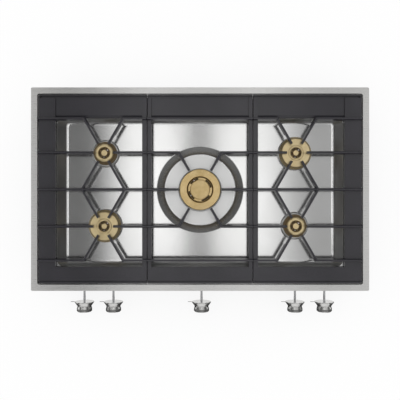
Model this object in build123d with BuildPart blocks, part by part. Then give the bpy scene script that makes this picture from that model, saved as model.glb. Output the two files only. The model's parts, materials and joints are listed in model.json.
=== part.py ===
"""Built-in gas cooktop with five brass burners, three cast pan supports and five front knobs.

Millimetres, +Z up, +X right and +Y towards the wall, with the cook standing at -Y.
The origin is the centre of the worktop cut-out, on the worktop's upper surface.
"""

import os
from math import atan2, cos, radians, sin, tan

from build123d import *

os.makedirs("parts", exist_ok=True)

# ---------------------------------------------------------------- driving dimensions

# Surround frame, seal and worktop
frame_width = 904.0
frame_depth = 544.0
frame_corner = 4.0
rim_width = 16.3
rim_thickness = 3.0
opening_corner = 7.0
frame_wall = 2.0
lip_width = 6.0
lip_thickness = 1.5
seal_thickness = 1.5
seal_width = 8.0
seal_inset = 1.0

# Pressed burner tray
sheet = 1.5
ledge_height = -9.0
tray_gap = 0.5
side_border = 49.7
front_border = 47.2
rear_border = 64.9
recess_drop = 27.0
recess_corner = 18.0
recess_slope = 19.0
recess_end_slope = 4.0
recess_floor_corner = 15.0
recess_floor_round = 13.0
dish_top_radius = 119.0
dish_floor_radius = 97.0
dish_drop = 12.0
dish_lip_round = 3.5
dish_floor_round = 6.0

# Housing under the tray
housing_gap = 1.2
housing_bottom = -118.0
housing_flange = 12.0
housing_corner = 10.0

# Burner layout
cook_centre_y = -1.0
burner_x = 258.0
burner_margin = 100.95
crown_seat = -20.0

# Pan supports
support_gap = 2.7
module_joint_x = 141.6
module_gap = 1.4
plate_top = 3.0
plate_thickness = 8.0
side_plate_width = 45.5
rear_panel_setback = 0.2
panel_drop = 4.0
panel_slope_width = 7.2
panel_slope_drop = 2.5
rear_band_width = 3.5
rear_groove_width = 5.6
rear_groove_depth = 6.0
front_band_width = 5.2
front_groove_width = 2.6
front_groove_depth = 4.0
groove_inset = 4.0
outer_bar_width = 12.8
middle_bar_width = 10.5
support_corner = 5.0
plate_edge_round = 1.2
rib_top = 14.0
rib_bottom = -2.0
rib_top_width = 5.0
rib_base_width = 9.0
rib_round = 2.0
end_rib_margin = 10.45
finger_angle = 60.0
finger_tip_radius = 26.6
wok_tip_radius = 57.6
finger_underside = 4.0
finger_relief_radius = 56.0
wok_relief_radius = 84.0
pad_radius = 6.0
pad_inset = 22.0
pad_stem_radius = 3.0
pad_stem_length = 2.5
pad_stem_clearance = 0.3

# Small burners
small_opening_gap = 2.0
small_mouth_wall = 2.0
small_channel_width = 5.0
small_crown_wall = 2.5
small_crown_height = 17.0
small_neck_step = 7.0
small_ring_width = 6.5
small_knob_radius = 7.8
small_rim_round = 4.4
small_mouth_round = 3.0
small_port_count = 24

# Large burners
large_opening_gap = 1.3
large_collar_width = 6.7
large_collar_height = 2.2
large_roof_width = 6.0
large_channel_width = 7.0
large_crown_wall = 4.0
large_skirt_flare = 6.0
large_crown_height = 16.0
large_neck_wall = 2.0
large_ring_width = 10.0
large_knob_radius = 7.0
large_edge_bevel = 1.0
large_port_count = 36

# Middle burner
wok_cap_radius = 26.7
wok_slot_margin = 0.3
wok_slot_width = 4.8
wok_rim_margin = 0.2
wok_rim_slope = 2.9
wok_ring_gap = 0.5
wok_bore_wall = 4.6
wok_channel_width = 12.0
wok_neck_wall = 2.0
wok_crown_overhang = 1.5
wok_crown_height = 16.0
wok_inner_height = 14.0
wok_slot_sweep = 42.0
wok_slot_angles = (124.0, 35.0, 213.0, 303.0)
wok_gallery_start = 20.0
wok_gallery_count = 6
wok_cap_height = 3.0
wok_cap_bevel = 1.8
wok_cap_overhang = 6.7
wok_edge_bevel = 2.0
wok_bore_bevel = 1.0
wok_ring_width = 6.0
wok_cup_margin = 6.6
wok_pocket_margin = 3.0
wok_venturi_radius = 10.0
wok_port_count = 48

# Shared burner details
screw_angles = (0.0, 180.0)
seat_clearance = 0.3
neck_clearance = 0.4
trim_height = 5.5
trim_slope = 4.0
base_flange_width = 12.0
base_flange_thickness = 4.0
base_bottom = -72.0
wok_base_bottom = -76.0
base_cup_radius = 20.0
venturi_radius = 6.0
channel_depth = 10.0
gallery_radius = 2.2
gallery_lift = 0.8
crown_roof = 5.0
port_width = 1.3
port_height = 6.0
spigot_depth = 3.0
spigot_wall = 1.7
electrode_gap = 0.9
electrode_radius = 1.8
electrode_clearance = 0.4
electrode_rise = 10.0
electrode_tip_radius = 0.8
electrode_tip_length = 4.0
thermocouple_radius = 1.5
thermocouple_rise = 11.0
burner_screw_radius = 2.0
screw_clearance = 0.2
screw_head_radius = 4.0
screw_head_height = 2.5
arm_count = 5
arm_start = 10.0
arm_width = 2.6
arm_thickness = 3.0
arm_rise = 4.0
hub_radius = 8.5
stem_radius = 5.0
stem_knob_rise = 14.5
stem_knob_height = 3.0

# Gas train
injector_radius = 9.0
injector_height = 14.0
jet_radius = 3.0
jet_height = 6.0
boss_radius = 5.0
boss_reach = 13.0
pipe_radius = 4.0
pipe_wall = 1.0
pipe_bend = 14.0
manifold_size = 16.0
manifold_wall = 2.0
feed_inset = 31.5
feed_radius = 8.0
inlet_thread_radius = 10.48
inlet_thread_length = 16.0
inlet_thread_setback = 2.0
inlet_relief = 0.5
inlet_hex = 27.0
inlet_bore_radius = 6.0
inlet_hex_thickness = 8.0
inlet_inner_length = 24.0

# Knobs, spindles and taps
knob_positions = (-323.0, -242.0, 4.0, 265.0, 347.0)
knob_axis_height = -62.0
knob_standoff = 40.3
knob_length = 28.0
knob_flange_radius = 26.5
knob_flange_thickness = 2.0
knob_waist_radius = 19.4
knob_cone_length = 9.8
knob_waist_length = 2.6
knob_shoulder_length = 5.0
knob_barrel_radius = 21.0
knob_face_bevel = 2.5
knob_bore_depth = 18.0
pointer_reach = 38.2
pointer_height = 3.0
pointer_thickness = 1.5
push_travel = 3.0
spindle_radius = 3.0
running_clearance = 0.05
shoulder_radius = 6.5
collar_thickness = 4.0
collar_bore_radius = 9.0
tap_neck_radius = 12.0
tap_width = 26.0
tap_length = 46.0
tap_above_axis = 16.0
tap_setback = 8.5
tap_neck_length = 22.0
tap_round = 3.0
outlet_length = 6.0
spindle_tail = 7.0
guide_cap_thickness = 2.0
guide_wall = 1.6
guide_length = 7.0
spring_wall = 1.6
spring_slack = 0.3
rail_thickness = 1.5
rail_above_axis = 20.0
rail_foot = 14.0
rail_end_margin = 30.0

# Electrical pieces and fixings
module_width = 84.0
module_depth = 46.0
module_height = 28.0
module_x = -60.0
module_setback = 58.5
module_corner = 3.0
lead_radius = 1.6
lead_clearance = 10.5
lead_bend = 6.0
lead_pitch = 8.0
lead_lane = 20.0
gland_spacing = 97.0
gland_height = -78.0
gland_radius = 11.0
gland_neck_radius = 8.0
gland_bore_radius = 4.5
gland_length = 16.0
gland_flange = 3.0
clamp_y = 150.0
clamp_screw_reach = 15.0
clamp_width = 24.0
clamp_thickness = 2.0
clamp_reach = 22.0
clamp_top = -58.0
clamp_height = 34.0
clamp_screw_radius = 2.5
clamp_screw_top = -40.0
clamp_screw_length = 34.0
housing_screw_pitch = 370.0

# How far a cutting tool runs past the surface that it opens
cut_margin = 1.0

# ---------------------------------------------------------------- derived values

rim_bottom = seal_thickness
opening_width = frame_width - 2 * rim_width
opening_depth = frame_depth - 2 * rim_width
ledge_underside = ledge_height - sheet
lip_bottom = ledge_underside - lip_thickness
tray_width = opening_width - 2 * tray_gap
tray_depth = opening_depth - 2 * tray_gap
floor_height = ledge_height - recess_drop
floor_underside = floor_height - sheet
dish_floor = floor_height - dish_drop
dish_underside = dish_floor - sheet
dish_mouth = dish_top_radius + dish_lip_round
dish_lean = sheet * tan(atan2(dish_drop, dish_top_radius - dish_floor_radius) / 2)
recess_width = opening_width - 2 * side_border
recess_front = -opening_depth / 2 + front_border
recess_back = opening_depth / 2 - rear_border
recess_depth = recess_back - recess_front
recess_y = (recess_back + recess_front) / 2
burner_y = recess_depth / 2 - burner_margin
end_rib_y = recess_depth / 2 - end_rib_margin
housing_width = opening_width - 2 * lip_width - 2 * housing_gap
housing_depth = opening_depth - 2 * lip_width - 2 * housing_gap
housing_front = -housing_depth / 2
housing_floor = housing_bottom + sheet
support_front = -opening_depth / 2 + support_gap
support_back = opening_depth / 2 - support_gap
support_side = opening_width / 2 - support_gap
plate_bottom = plate_top - plate_thickness
panel_top = plate_top - panel_drop
rear_groove_floor = plate_top - rear_groove_depth
rear_panel_edge = recess_back + rear_panel_setback
rear_y = cook_centre_y + burner_y
front_y = cook_centre_y - burner_y
wok_centre = (0.0, cook_centre_y)
electrode_top = crown_seat + electrode_rise
thermocouple_top = crown_seat + thermocouple_rise
arm_bottom = crown_seat + arm_rise
stem_knob_top = crown_seat + stem_knob_rise

electrode_circle = hub_radius + electrode_gap + electrode_radius
electrode_reach = electrode_circle + electrode_radius
small_opening_radius = electrode_reach + small_opening_gap
small_channel_inner = small_opening_radius + small_mouth_wall
small_channel_outer = small_channel_inner + small_channel_width
small_crown_radius = small_channel_outer + small_crown_wall
small_neck_radius = small_crown_radius + small_neck_step
small_ring_radius = small_neck_radius + small_ring_width

large_opening_radius = electrode_reach + large_opening_gap
large_collar_radius = large_opening_radius + large_collar_width
large_channel_inner = large_collar_radius + large_roof_width
large_channel_outer = large_channel_inner + large_channel_width
large_crown_radius = large_channel_outer + large_crown_wall
large_skirt_radius = large_crown_radius + large_skirt_flare
large_neck_radius = large_channel_outer + large_neck_wall
large_ring_radius = large_neck_radius + large_ring_width

wok_cap_spigot = wok_cap_radius - wok_cap_overhang
wok_slot_inner = wok_cap_radius + wok_slot_margin
wok_slot_outer = wok_slot_inner + wok_slot_width
wok_inner_rim = wok_slot_outer + wok_rim_margin
wok_inner_radius = wok_inner_rim + wok_rim_slope
wok_bore_radius = wok_inner_radius + wok_ring_gap
wok_channel_inner = wok_bore_radius + wok_bore_wall
wok_channel_outer = wok_channel_inner + wok_channel_width
wok_neck_radius = wok_channel_outer + wok_neck_wall
wok_crown_radius = wok_neck_radius + wok_crown_overhang
wok_ring_radius = wok_neck_radius + wok_ring_width
wok_pocket_radius = wok_slot_inner - wok_pocket_margin
wok_electrode_circle = (wok_slot_inner + wok_slot_outer) / 2
wok_cup_radius = wok_electrode_circle + wok_cup_margin

rear_wall = housing_depth / 2
feed_x = housing_width / 2 - feed_inset
gland_x = feed_x - gland_spacing
module_y = rear_wall - module_setback
lead_height = housing_floor + lead_clearance
knob_back = -frame_depth / 2 - knob_standoff
knob_front = knob_back - knob_length
tap_front = housing_front + tap_setback
neck_front = tap_front - tap_neck_length
shoulder_front = neck_front + seat_clearance
collar_back = neck_front + 2 * collar_thickness
spring_front = collar_back + push_travel + spring_slack
spring_back = tap_front - sheet
spindle_end = tap_front + spindle_tail
rail_top = knob_axis_height + rail_above_axis
pipe_height = base_bottom - injector_height / 2
wok_pipe_height = wok_base_bottom - injector_height / 2
tap_back = tap_front + tap_length
manifold_top = pipe_height - boss_radius
manifold_height = manifold_top - manifold_size / 2
manifold_y = tap_front + tap_length / 2

SMALL_BURNERS = {"rear_left": (-burner_x, rear_y), "front_right": (burner_x, front_y)}
LARGE_BURNERS = {"front_left": (-burner_x, front_y), "rear_right": (burner_x, rear_y)}
UPRIGHT = Vector(0, 0, 1)


# ---------------------------------------------------------------- shared shapes


def finish(part, label):
    """Name a finished sub-part and write its STEP file."""
    part.label = label
    export_step(part, f"parts/{label}.step")


def slab(centre, size, corner, bottom, height, mode=Mode.ADD):
    """A level plate with rounded corners, from its underside up."""
    with BuildSketch(Plane.XY.offset(bottom)) as outline:
        with Locations(centre):
            RectangleRounded(size[0], size[1], corner)
    extrude(outline.sketch, amount=height, mode=mode)


def block(low, high, mode=Mode.ADD):
    """A plain box between two corners."""
    size = Vector(*high) - Vector(*low)
    with Locations(Vector(*low)):
        Box(size.X, size.Y, size.Z, align=(Align.MIN, Align.MIN, Align.MIN), mode=mode)


def turned(centre, profile, mode=Mode.ADD):
    """Turn a closed (radius, height) profile about an upright axis."""
    with BuildSketch(Plane.XZ.offset(-centre[1])) as section:
        with BuildLine():
            Polyline(*[(centre[0] + radius, height) for radius, height in profile], close=True)
        make_face()
    revolve(section.sketch, axis=Axis((centre[0], centre[1], 0), (0, 0, 1)), mode=mode)


def lathed(x, profile, mode=Mode.ADD):
    """Turn a closed (radius, y) profile about a knob's axis."""
    with BuildSketch(Plane.XY.offset(knob_axis_height)) as section:
        with BuildLine():
            Polyline(*[(x + radius, y) for radius, y in profile], close=True)
        make_face()
    revolve(section.sketch, axis=Axis((x, 0, knob_axis_height), (0, 1, 0)), mode=mode)


def post(centre, radius, bottom, top, mode=Mode.ADD):
    """An upright cylinder."""
    with Locations((centre[0], centre[1], bottom)):
        Cylinder(radius, top - bottom, align=(Align.CENTER, Align.CENTER, Align.MIN), mode=mode)


def around(centre, radius, angle):
    """The point at a radius and an angle round a centre."""
    return (centre[0] + radius * cos(radians(angle)), centre[1] + radius * sin(radians(angle)))


def tube(points, radius, bend, bore=0.0):
    """A round tube along straight runs joined by tangent arcs."""
    with BuildLine() as route:
        FilletPolyline(*points, radius=bend)
    start = Plane(origin=points[0], z_dir=Vector(*points[1]) - Vector(*points[0]))
    with BuildSketch(start) as section:
        Circle(radius)
        if bore:
            Circle(bore, mode=Mode.SUBTRACT)
    sweep(section.sketch, path=route.wires()[0])


# ---------------------------------------------------------------- frame, seal, tray, housing

with BuildPart() as surround_frame:
    slab((0, 0), (frame_width, frame_depth), frame_corner, rim_bottom, rim_thickness)
    slab(
        (0, 0),
        (opening_width + 2 * frame_wall, opening_depth + 2 * frame_wall),
        opening_corner + frame_wall,
        lip_bottom,
        rim_bottom - lip_bottom,
    )
    slab(
        (0, 0),
        (opening_width, opening_depth),
        opening_corner,
        ledge_underside,
        rim_bottom + rim_thickness - ledge_underside,
        mode=Mode.SUBTRACT,
    )
    slab(
        (0, 0),
        (opening_width - 2 * lip_width, opening_depth - 2 * lip_width),
        opening_corner,
        lip_bottom,
        lip_thickness,
        mode=Mode.SUBTRACT,
    )
finish(surround_frame.part, "surround_frame")

with BuildPart() as worktop_seal:
    slab(
        (0, 0),
        (frame_width - 2 * seal_inset, frame_depth - 2 * seal_inset),
        frame_corner,
        0,
        seal_thickness,
    )
    slab(
        (0, 0),
        (frame_width - 2 * (seal_inset + seal_width), frame_depth - 2 * (seal_inset + seal_width)),
        frame_corner,
        0,
        seal_thickness,
        mode=Mode.SUBTRACT,
    )
finish(worktop_seal.part, "worktop_seal")


def recess_form(grow, top, drop, mode=Mode.ADD):
    """The tray's recess, sloping at the sides and steep at its ends, widened by a sheet for its outside."""
    side_shrink = recess_slope - grow
    end_shrink = recess_end_slope - grow
    with BuildSketch(Plane.XY.offset(top)) as mouth:
        with Locations((0, recess_y)):
            RectangleRounded(recess_width + 2 * grow, recess_depth + 2 * grow, recess_corner + grow)
    with BuildSketch(Plane.XY.offset(top - drop)) as floor:
        with Locations((0, recess_y)):
            RectangleRounded(
                recess_width - 2 * side_shrink,
                recess_depth - 2 * end_shrink,
                recess_floor_corner + grow,
            )
    loft([mouth.sketch, floor.sketch], ruled=True, mode=mode)


def dish_form(height, lean, lip_round, floor_round, mode=Mode.ADD):
    """The round dish of the tray, down from a level, with its lip and its floor's edge rounded."""
    with BuildSketch(Plane.XZ.offset(-cook_centre_y)) as section:
        with BuildLine():
            FilletPolyline(
                (dish_mouth, height),
                (dish_top_radius + lean, height),
                (dish_floor_radius + lean, height - dish_drop),
                (0, height - dish_drop),
                radius=(lip_round, floor_round),
            )
            Polyline(
                (0, height - dish_drop),
                (0, height + sheet),
                (dish_mouth, height + sheet),
                (dish_mouth, height),
            )
        make_face()
    revolve(section.sketch, axis=Axis((0, cook_centre_y, 0), (0, 0, 1)), mode=mode)


def burner_openings(neck_radius, flange_radius, centres, mode=Mode.SUBTRACT):
    """Holes in the tray for one size of burner: its neck and two screws."""
    for centre in centres:
        post(centre, neck_radius + neck_clearance, dish_underside, floor_height, mode=mode)
        for angle in screw_angles:
            spot = around(centre, flange_radius, angle)
            post(spot, burner_screw_radius + screw_clearance, dish_underside, floor_height, mode=mode)


small_screw_circle = (small_neck_radius + small_ring_radius) / 2
large_screw_circle = (large_neck_radius + large_ring_radius) / 2
wok_screw_circle = (wok_neck_radius + wok_ring_radius) / 2

with BuildPart() as recess_space:
    recess_form(0, ledge_height, recess_drop)
    fillet(recess_space.faces().sort_by(Axis.Z)[0].edges(), recess_floor_round)

with BuildPart() as burner_tray:
    slab((0, 0), (tray_width, tray_depth), opening_corner, ledge_underside, sheet)
    recess_form(sheet, ledge_height, recess_drop + sheet)
    floor_rim = burner_tray.faces().sort_by(Axis.Z)[0].edges()
    fillet(floor_rim, recess_floor_round + sheet)
    dish_form(floor_underside, dish_lean, dish_lip_round - sheet, dish_floor_round + sheet)
    add(recess_space.part, mode=Mode.SUBTRACT)
    dish_form(floor_height, 0, dish_lip_round, dish_floor_round, mode=Mode.SUBTRACT)
    burner_openings(small_neck_radius, small_screw_circle, SMALL_BURNERS.values())
    burner_openings(large_neck_radius, large_screw_circle, LARGE_BURNERS.values())
    burner_openings(wok_neck_radius, wok_screw_circle, [wok_centre])
finish(burner_tray.part, "burner_tray")

panel_hole_radius = tap_neck_radius + screw_clearance
housing_size = (housing_width, housing_depth)
housing_inside = (housing_width - 2 * sheet, housing_depth - 2 * sheet)
flange_inside = (housing_inside[0] - 2 * housing_flange, housing_inside[1] - 2 * housing_flange)
screw_line_y = housing_inside[1] / 2 - housing_flange / 2
screw_spots = [
    (x, y)
    for x in (-housing_screw_pitch, 0, housing_screw_pitch)
    for y in (-screw_line_y, screw_line_y)
]


def bore_along_y(x, height, radius, start, end, mode=Mode.SUBTRACT):
    """A round hole, or a rod, that runs from front to back."""
    with BuildSketch(Plane.XZ.offset(-start)) as outline:
        with Locations((x, height)):
            Circle(radius)
    extrude(outline.sketch, amount=start - end, mode=mode)


with BuildPart() as bottom_housing:
    height = ledge_underside - housing_bottom
    slab((0, 0), housing_size, housing_corner, housing_bottom, height)
    slab((0, 0), housing_inside, housing_corner - sheet, housing_floor, height, mode=Mode.SUBTRACT)
    slab((0, 0), housing_inside, housing_corner - sheet, ledge_underside - sheet, sheet)
    slab(
        (0, 0),
        flange_inside,
        housing_corner,
        ledge_underside - sheet,
        sheet,
        mode=Mode.SUBTRACT,
    )
    for x in knob_positions:
        bore_along_y(x, knob_axis_height, panel_hole_radius, housing_front, housing_front + sheet)
    radius = inlet_thread_radius + screw_clearance
    bore_along_y(feed_x, manifold_height, radius, rear_wall - sheet, rear_wall)
    radius = gland_neck_radius + screw_clearance
    bore_along_y(gland_x, gland_height, radius, rear_wall - sheet, rear_wall)
    for spot in screw_spots:
        radius = burner_screw_radius + screw_clearance
        post(spot, radius, ledge_underside - 2 * sheet, ledge_underside, mode=Mode.SUBTRACT)
finish(bottom_housing.part, "bottom_housing")

with BuildPart() as housing_screws:
    for spot in screw_spots:
        head_top = ledge_underside - sheet
        post(spot, burner_screw_radius, head_top, ledge_underside)
        post(spot, screw_head_radius, head_top - screw_head_height, head_top)
finish(housing_screws.part, "housing_screws")

# ---------------------------------------------------------------- pan supports


def rib(points, bottom=rib_bottom):
    """One cast rib: a tapered, round-topped bar that follows a level line."""
    start = Vector(points[0][0], points[0][1], 0)
    heading = Vector(points[1][0], points[1][1], 0) - start
    side = UPRIGHT.cross(heading)
    with BuildLine() as route:
        Polyline(*points)
    with BuildSketch(Plane(origin=start, x_dir=side, z_dir=heading)) as section:
        with BuildLine():
            Polyline(
                (-rib_base_width / 2, bottom),
                (rib_base_width / 2, bottom),
                (rib_top_width / 2, rib_top),
                (-rib_top_width / 2, rib_top),
                close=True,
            )
        make_face()
        fillet(section.vertices().sort_by(Axis.Y)[-2:], rib_round)
    sweep(section.sketch, path=route.wires()[0], transition=Transition.RIGHT)


def border_plate(left, right, left_width, right_width, round_left, round_right):
    """The flat border of one pan support, with its window, rear panel and two grooves."""
    with BuildSketch(Plane.XY.offset(plate_bottom)) as outline:
        with BuildLine():
            Polyline(
                (left, support_front),
                (right, support_front),
                (right, support_back),
                (left, support_back),
                close=True,
            )
        make_face()
        corners = outline.vertices().group_by(Axis.X)
        if round_left:
            fillet(corners[0], support_corner)
        if round_right:
            fillet(outline.vertices().group_by(Axis.X)[-1], support_corner)
    extrude(outline.sketch, amount=plate_thickness)
    fillet(faces().sort_by(Axis.Z)[-1].edges(), plate_edge_round)
    window_left = left + left_width
    window_right = right - right_width
    groove_back = support_back - rear_band_width
    panel_back = groove_back - rear_groove_width
    panel_front = rear_panel_edge + panel_slope_width
    block(
        (window_left, recess_front, plate_bottom),
        (window_right, rear_panel_edge, plate_top),
        Mode.SUBTRACT,
    )
    block(
        (window_left, rear_panel_edge, panel_top),
        (window_right, panel_back, plate_top),
        Mode.SUBTRACT,
    )
    slope = [
        (rear_panel_edge, panel_top - panel_slope_drop),
        (panel_front, panel_top),
        (rear_panel_edge, panel_top),
    ]
    with BuildSketch(Plane.YZ.offset(window_left)) as bevel:
        with BuildLine():
            Polyline(*slope, close=True)
        make_face()
    extrude(bevel.sketch, amount=window_right - window_left, mode=Mode.SUBTRACT)
    groove_left = left + (groove_inset if round_left else 0)
    groove_right = right - (groove_inset if round_right else 0)
    block(
        (groove_left, panel_back, rear_groove_floor),
        (groove_right, groove_back, plate_top),
        Mode.SUBTRACT,
    )
    groove_front = support_front + front_band_width
    block(
        (groove_left, groove_front, plate_top - front_groove_depth),
        (groove_right, groove_front + front_groove_width, plate_top),
        Mode.SUBTRACT,
    )


def pad_spots(left, right):
    """Where one pan support's rubber feet stand on the tray's ledge."""
    front_row = (support_front + recess_front) / 2
    back_row = (rear_panel_edge + support_back) / 2
    return [(x, y) for x in (left + pad_inset, right - pad_inset) for y in (front_row, back_row)]


def pad_sockets(left, right):
    """Blind holes for the stems of the rubber feet."""
    radius = pad_stem_radius + pad_stem_clearance
    socket_top = plate_bottom + pad_stem_length + pad_stem_clearance
    for spot in pad_spots(left, right):
        post(spot, radius, plate_bottom, socket_top, mode=Mode.SUBTRACT)


def pads(left, right):
    """Rubber feet between the tray's ledge and a pan support."""
    for spot in pad_spots(left, right):
        post(spot, pad_radius, ledge_height, plate_bottom)
        post(spot, pad_stem_radius, plate_bottom, plate_bottom + pad_stem_length)


def finger_relief(centre, radius):
    """Raise the underside of the fingers round a burner."""
    post(centre, radius, rib_bottom - cut_margin, finger_underside, mode=Mode.SUBTRACT)


def finger_point(centre, radius, side, turn):
    """A point on a slanting finger: to the right for side 1, to the rear for turn 1."""
    angle = radians(finger_angle)
    return (centre[0] + side * radius * cos(angle), centre[1] + turn * radius * sin(angle))


def burner_ribs(centre, edges, turn):
    """The level fingers beside a side burner and the bent ones at its end of the support."""
    end_y = cook_centre_y + turn * end_rib_y
    reach = turn * (end_y - centre[1]) / tan(radians(finger_angle))
    for side, edge in zip((-1, 1), edges):
        rib([(edge, centre[1]), (centre[0] + side * finger_tip_radius, centre[1])])
        tip = finger_point(centre, finger_tip_radius, side, turn)
        rib([(edge, end_y), (centre[0] + side * reach, end_y), tip])


def side_edges(side):
    """Left and right edges of the left (-1) or right (+1) pan support."""
    return sorted((side * support_side, side * (module_joint_x + module_gap / 2)))


def side_support(side):
    """Ribs and border of the left (-1) or right (+1) pan support."""
    left, right = side_edges(side)
    widths = (side_plate_width, outer_bar_width)[::-side]
    border_plate(left, right, widths[0], widths[1], side < 0, side > 0)
    pad_sockets(left, right)
    x = side * burner_x
    reach = burner_y / tan(radians(finger_angle))
    rear, front = (x, rear_y), (x, front_y)
    burner_ribs(rear, (left, right), 1)
    burner_ribs(front, (left, right), -1)
    rib([(left, cook_centre_y), (right, cook_centre_y)])
    for way in (-1, 1):
        rib(
            [
                finger_point(rear, finger_tip_radius, way, -1),
                (x + way * reach, cook_centre_y),
                finger_point(front, finger_tip_radius, way, 1),
            ]
        )
    finger_relief(rear, finger_relief_radius)
    finger_relief(front, finger_relief_radius)


for name, side in (("left", -1), ("right", 1)):
    with BuildPart() as pan_support:
        side_support(side)
    finish(pan_support.part, f"pan_support_{name}")
    with BuildPart() as support_pads:
        pads(*side_edges(side))
    finish(support_pads.part, f"support_pads_{name}")

middle_edge = module_joint_x - module_gap / 2

with BuildPart() as pan_support_middle:
    border_plate(-middle_edge, middle_edge, middle_bar_width, middle_bar_width, False, False)
    pad_sockets(-middle_edge, middle_edge)
    bend = burner_y / tan(radians(finger_angle))
    for turn in (-1, 1):
        end = cook_centre_y + turn * end_rib_y
        level = cook_centre_y + turn * burner_y
        rib([(-middle_edge, end), (middle_edge, end)])
        for way in (-1, 1):
            tip = finger_point(wok_centre, wok_tip_radius, way, turn)
            rib([(way * middle_edge, level), (way * bend, level), tip])
    for way in (-1, 1):
        rib([(way * middle_edge, cook_centre_y), (way * wok_tip_radius, cook_centre_y)])
    finger_relief(wok_centre, wok_relief_radius)
finish(pan_support_middle.part, "pan_support_middle")

with BuildPart() as support_pads_middle:
    pads(-middle_edge, middle_edge)
finish(support_pads_middle.part, "support_pads_middle")

# ---------------------------------------------------------------- burners

arm_angles = [arm_start + 360 / arm_count * turn for turn in range(arm_count)]
half_step = 360 / arm_count / 2
igniter_angle = arm_angles[0] + half_step
thermocouple_angle = arm_angles[3] + half_step
port_bottom = crown_seat + spigot_depth


def spoke_planes(centre, radius, height, angles):
    """Planes that face outwards round a burner, each with its x axis upright."""
    return [
        Plane(
            origin=(*around(centre, radius, angle), height),
            x_dir=(0, 0, 1),
            z_dir=(cos(radians(angle)), sin(radians(angle)), 0),
        )
        for angle in angles
    ]


def galleries(centre, start, end, height, angles):
    """Drilled gas ways from a burner base's bore to its ring channel."""
    with Locations(*spoke_planes(centre, start, height, angles)):
        Cylinder(
            gallery_radius,
            end - start,
            align=(Align.CENTER, Align.CENTER, Align.MIN),
            mode=Mode.SUBTRACT,
        )


def flame_ports(centre, start, end, count):
    """Upright slots through the wall of a crown."""
    angles = [360 / count * (turn + 0.5) for turn in range(count)]
    with Locations(*spoke_planes(centre, start, port_bottom, angles)):
        Box(
            port_height,
            port_width,
            end - start,
            align=(Align.MIN, Align.CENTER, Align.MIN),
            mode=Mode.SUBTRACT,
        )


def base_fixings(centre, circle, electrode_ring, angles, underside, bottom):
    """Screw holes in a base's flange and the two electrode holes through its body."""
    for angle in screw_angles:
        spot = around(centre, circle, angle)
        radius = burner_screw_radius + screw_clearance
        post(spot, radius, underside - base_flange_thickness, underside, mode=Mode.SUBTRACT)
    for angle in angles:
        spot = around(centre, electrode_ring, angle)
        radius = electrode_radius + electrode_clearance
        post(spot, radius, bottom, crown_seat, mode=Mode.SUBTRACT)


def side_base(centre, neck, screw_circle, channel_inner, channel_outer):
    """Cast base of a side burner: mixing cup, flange, neck and ring channel."""
    channel_floor = crown_seat - channel_depth
    gallery_height = channel_floor + gallery_radius + gallery_lift
    bore_top = gallery_height + gallery_radius + gallery_lift
    turned(
        centre,
        (
            (0, bore_top),
            (venturi_radius, bore_top),
            (venturi_radius, base_bottom),
            (base_cup_radius, base_bottom),
            (base_cup_radius, floor_underside - base_flange_thickness),
            (neck + base_flange_width, floor_underside - base_flange_thickness),
            (neck + base_flange_width, floor_underside),
            (neck, floor_underside),
            (neck, crown_seat),
            (channel_outer, crown_seat),
            (channel_outer, channel_floor),
            (channel_inner, channel_floor),
            (channel_inner, crown_seat),
            (0, crown_seat),
        ),
    )
    start, end = venturi_radius - cut_margin, channel_inner + cut_margin
    galleries(centre, start, end, gallery_height, arm_angles)
    angles = (igniter_angle, thermocouple_angle)
    base_fixings(centre, screw_circle, electrode_circle, angles, floor_underside, base_bottom)


def trim_ring(centre, neck, radius, floor):
    """Steel collar that covers the joint between a burner's neck and the tray."""
    inner = neck + neck_clearance
    top = floor + trim_height
    turned(
        centre,
        (
            (inner, floor),
            (radius, floor),
            (radius, floor + sheet),
            (radius - trim_slope, top),
            (inner, top),
        ),
    )


def spreader(centre, opening, knob_radius):
    """Brass centre piece: a foot, a stem, a flat knob and its star of arms."""
    arm_top = arm_bottom + arm_thickness
    turned(
        centre,
        (
            (0, crown_seat),
            (hub_radius, crown_seat),
            (hub_radius, crown_seat + spigot_depth),
            (stem_radius, arm_bottom),
            (stem_radius, arm_top),
            (knob_radius, stem_knob_top - stem_knob_height),
            (knob_radius, stem_knob_top),
            (0, stem_knob_top),
        ),
    )
    with Locations(*spoke_planes(centre, stem_radius / 2, arm_bottom, arm_angles)):
        Box(
            arm_thickness,
            arm_width,
            opening - seat_clearance - stem_radius / 2,
            align=(Align.MIN, Align.CENTER, Align.MIN),
        )


def small_crown(centre):
    """Small crown: a rounded brass cup that locates in the base's ring channel."""
    top = crown_seat + small_crown_height
    roof = top - crown_roof
    spigot = small_channel_outer - seat_clearance
    wall = spigot - spigot_wall
    turned(
        centre,
        (
            (small_opening_radius, crown_seat),
            (small_opening_radius, top),
            (small_crown_radius, top),
            (small_crown_radius, crown_seat),
            (spigot, crown_seat),
            (spigot, crown_seat - spigot_depth),
            (wall, crown_seat - spigot_depth),
            (wall, roof),
            (small_channel_inner, roof),
            (small_channel_inner, crown_seat),
        ),
    )
    rims = edges().filter_by(GeomType.CIRCLE).group_by(Axis.Z)[-1].sort_by(SortBy.RADIUS)
    fillet(rims[-1], small_rim_round)
    rims = edges().filter_by(GeomType.CIRCLE).group_by(Axis.Z)[-1].sort_by(SortBy.RADIUS)
    fillet(rims[0], small_mouth_round)
    flame_ports(centre, wall - cut_margin, small_crown_radius + cut_margin, small_port_count)


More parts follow.
